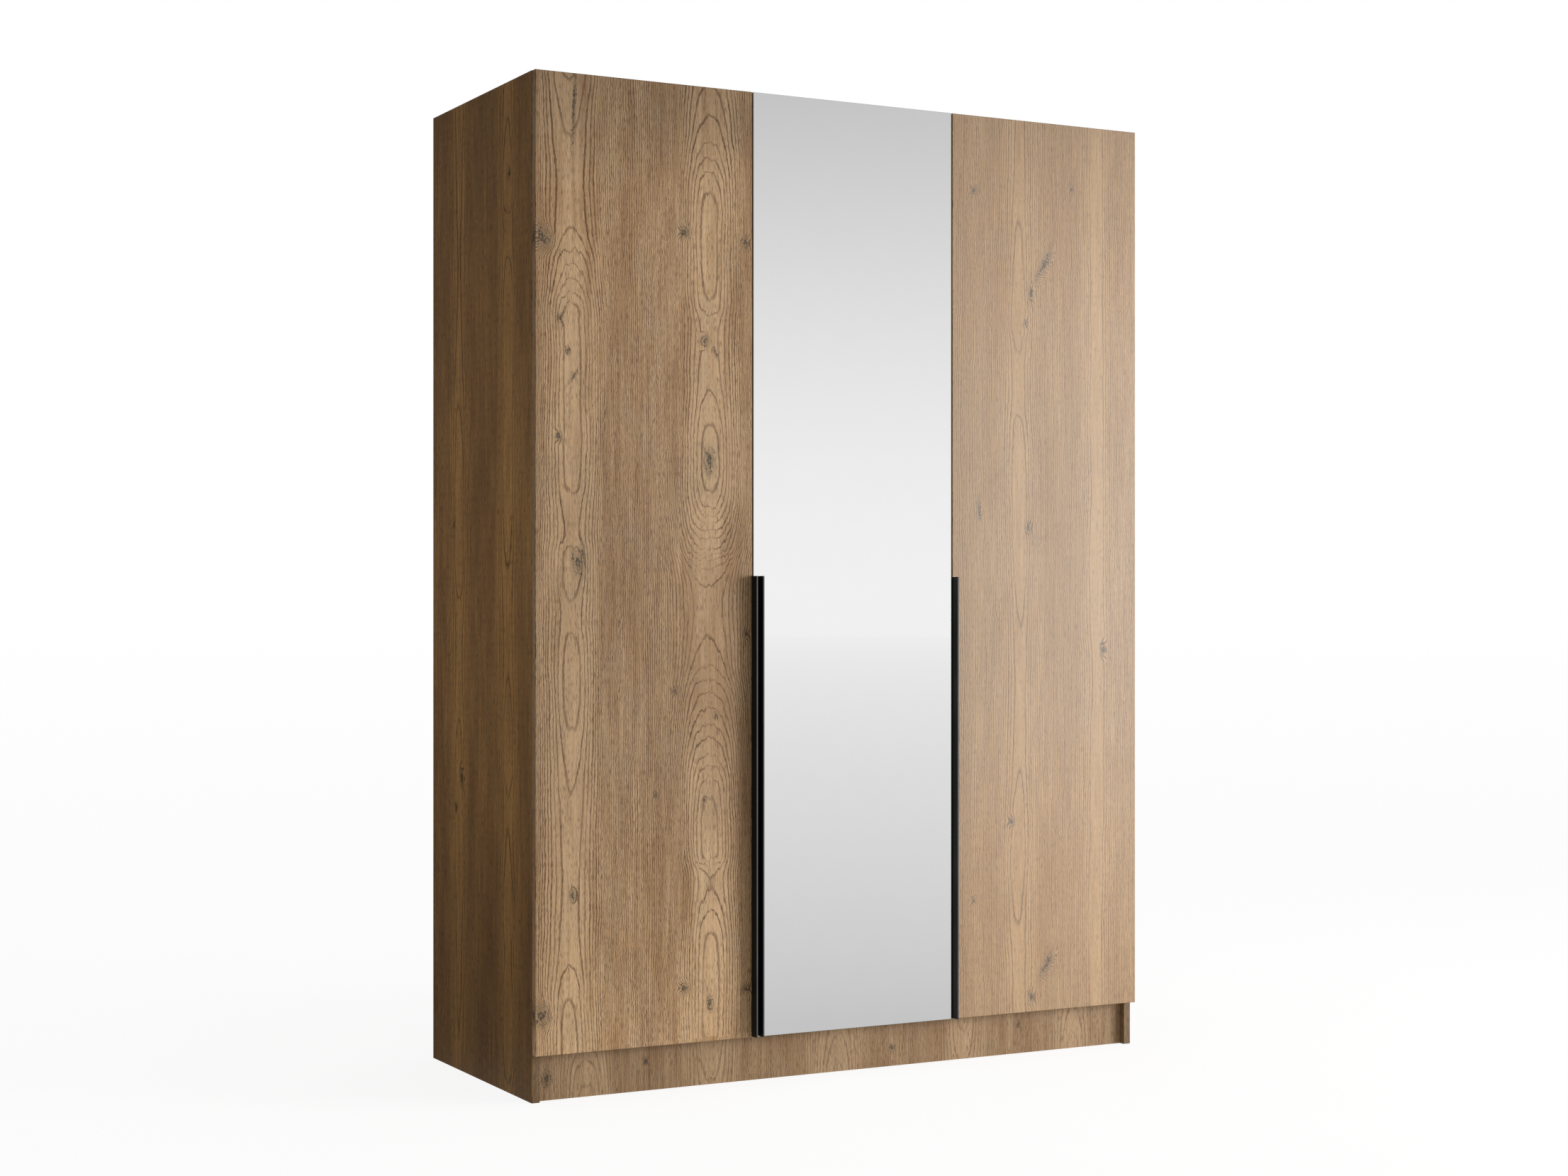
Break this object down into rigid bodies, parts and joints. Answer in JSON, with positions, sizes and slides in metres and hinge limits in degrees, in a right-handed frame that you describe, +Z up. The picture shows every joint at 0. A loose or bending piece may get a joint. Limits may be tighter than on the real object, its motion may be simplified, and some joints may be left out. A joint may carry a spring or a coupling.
{
  "type": "wardrobe",
  "caption": "Tall hinged-door wardrobe in oak decor with a full-height mirror door, long black blade pulls, a recessed plinth, a hanging space and shelves.",
  "frame": {"origin": "on the floor, at the centre of the whole wardrobe's box, pulls included", "axes": "+X to the right and -Y to the front for a person who faces the doors, +Z up"},
  "size_m": [1.35, 0.567, 1.91],
  "materials": {
    "oak_left_door": "oak-decor foil on chipboard, upright grain, matt",
    "oak_right_door": "oak-decor foil on chipboard, upright grain, matt",
    "oak_sides": "oak-decor foil on chipboard, upright grain, matt",
    "oak_plinth": "oak-decor foil on chipboard, upright grain, matt",
    "oak_inside": "oak-decor foil on chipboard, matt",
    "back_board": "printed hardboard, matt",
    "beech": "raw fluted beech",
    "mirror": "silvered clear float glass with ground edges",
    "black_pull": "black, satin",
    "black_screws": "black, satin",
    "nickel": "nickel plated, pressed steel",
    "chrome": "polished",
    "zinc": "bright zinc plated",
    "plastic_strip": "extruded, brown, matt",
    "soft_dots": "clear soft dots"
  },
  "bodies": {
    "carcass": {"arm_screws_left_door": "nickel", "arm_screws_mirror_door": "nickel", "arm_screws_right_door": "nickel", "back_joint_strip": "plastic_strip", "back_nails": "zinc", "back_panel_left": "back_board", "back_panel_middle": "back_board", "back_panel_right": "back_board", "bottom_panel": "oak_inside", "cam_bolts": "zinc", "cam_locks": "zinc", "dowels": "beech", "hanging_rail": "chrome", "hat_shelf": "oak_inside", "hinge_arms_left_door": "nickel", "hinge_arms_mirror_door": "nickel", "hinge_arms_right_door": "nickel", "hinge_plates_left_door": "nickel", "hinge_plates_mirror_door": "nickel", "hinge_plates_right_door": "nickel", "partition_panel": "oak_inside", "plate_screws_left_door": "nickel", "plate_screws_mirror_door": "nickel", "plate_screws_right_door": "nickel", "plinth_front": "oak_plinth", "plinth_rear": "oak_inside", "rail_brackets": "chrome", "rail_screws": "zinc", "shelf_1": "oak_inside", "shelf_2": "oak_inside", "shelf_3": "oak_inside", "shelf_4": "oak_inside", "shelf_pins": "zinc", "side_panel_left": "oak_sides", "side_panel_right": "oak_sides", "top_panel": "oak_inside", "wall_bracket_screws": "zinc", "wall_brackets": "zinc"},
    "left_door": {"bumpers_left_door": "soft_dots", "cup_screws_left_door": "nickel", "hinge_cups_left_door": "nickel", "hinge_pins_left_door": "nickel", "left_door_panel": "oak_left_door", "pull_left_door": "black_pull", "pull_screws_left_door": "black_screws"},
    "mirror_door": {"bumpers_mirror_door": "soft_dots", "cup_screws_mirror_door": "nickel", "hinge_cups_mirror_door": "nickel", "hinge_pins_mirror_door": "nickel", "mirror_door_board": "oak_inside", "mirror_glass": "mirror", "pull_mirror_door": "black_pull", "pull_screws_mirror_door": "black_screws"},
    "right_door": {"bumpers_right_door": "soft_dots", "cup_screws_right_door": "nickel", "hinge_cups_right_door": "nickel", "hinge_pins_right_door": "nickel", "pull_right_door": "black_pull", "pull_screws_right_door": "black_screws", "right_door_panel": "oak_right_door"}
  },
  "joints": [
    {"name": "left_door_hinge", "type": "hinge", "parent": "carcass", "child": "left_door", "pos_m": [-0.669, -0.2555, 0.999], "axis": [0, 0, -1], "range_deg": [0, 95]},
    {"name": "mirror_door_hinge", "type": "hinge", "parent": "carcass", "child": "mirror_door", "pos_m": [0.2175, -0.2555, 0.999], "axis": [0, 0, 1], "range_deg": [0, 90]},
    {"name": "right_door_hinge", "type": "hinge", "parent": "carcass", "child": "right_door", "pos_m": [0.669, -0.2555, 0.999], "axis": [0, 0, 1], "range_deg": [0, 95]}
  ]
}
